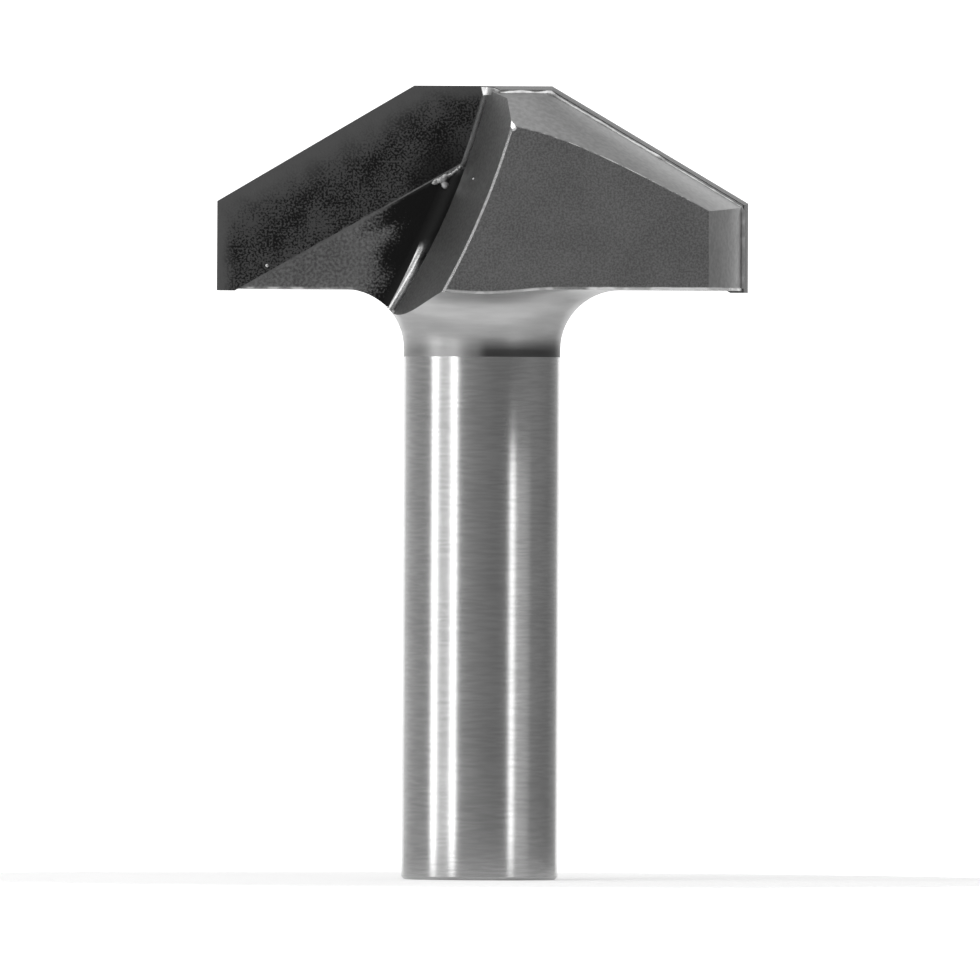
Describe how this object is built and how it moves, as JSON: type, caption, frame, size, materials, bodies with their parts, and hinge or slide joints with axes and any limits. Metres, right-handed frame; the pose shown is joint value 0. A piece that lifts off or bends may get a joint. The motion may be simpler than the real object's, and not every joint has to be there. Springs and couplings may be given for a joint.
{
  "type": "plunge panel router bit",
  "caption": "Raised-panel router cutter: straight round shank, flared neck, and winged steel head with brazed carbide tips that meet at the centre, so that it can plunge.",
  "frame": {"origin": "centre of the shank's free end face, on which the bit stands", "axes": "+Z along the cutter's axis from the shank towards the cutting head; the cutting faces lie in the plane y = 0, the long tip's on the -X side looking along -Y"},
  "size_m": [0.043, 0.0186, 0.0644],
  "materials": {
    "cutter_steel": "ground shank, milled and blasted head",
    "carbide": "sintered, ground on its edges",
    "silver_braze": "bright, flowed"
  },
  "bodies": {
    "root": {"cutter_body": "cutter_steel", "long_carbide_tip": "carbide", "short_carbide_tip": "carbide", "long_tip_braze": "silver_braze", "short_tip_braze": "silver_braze"}
  },
  "joints": []
}
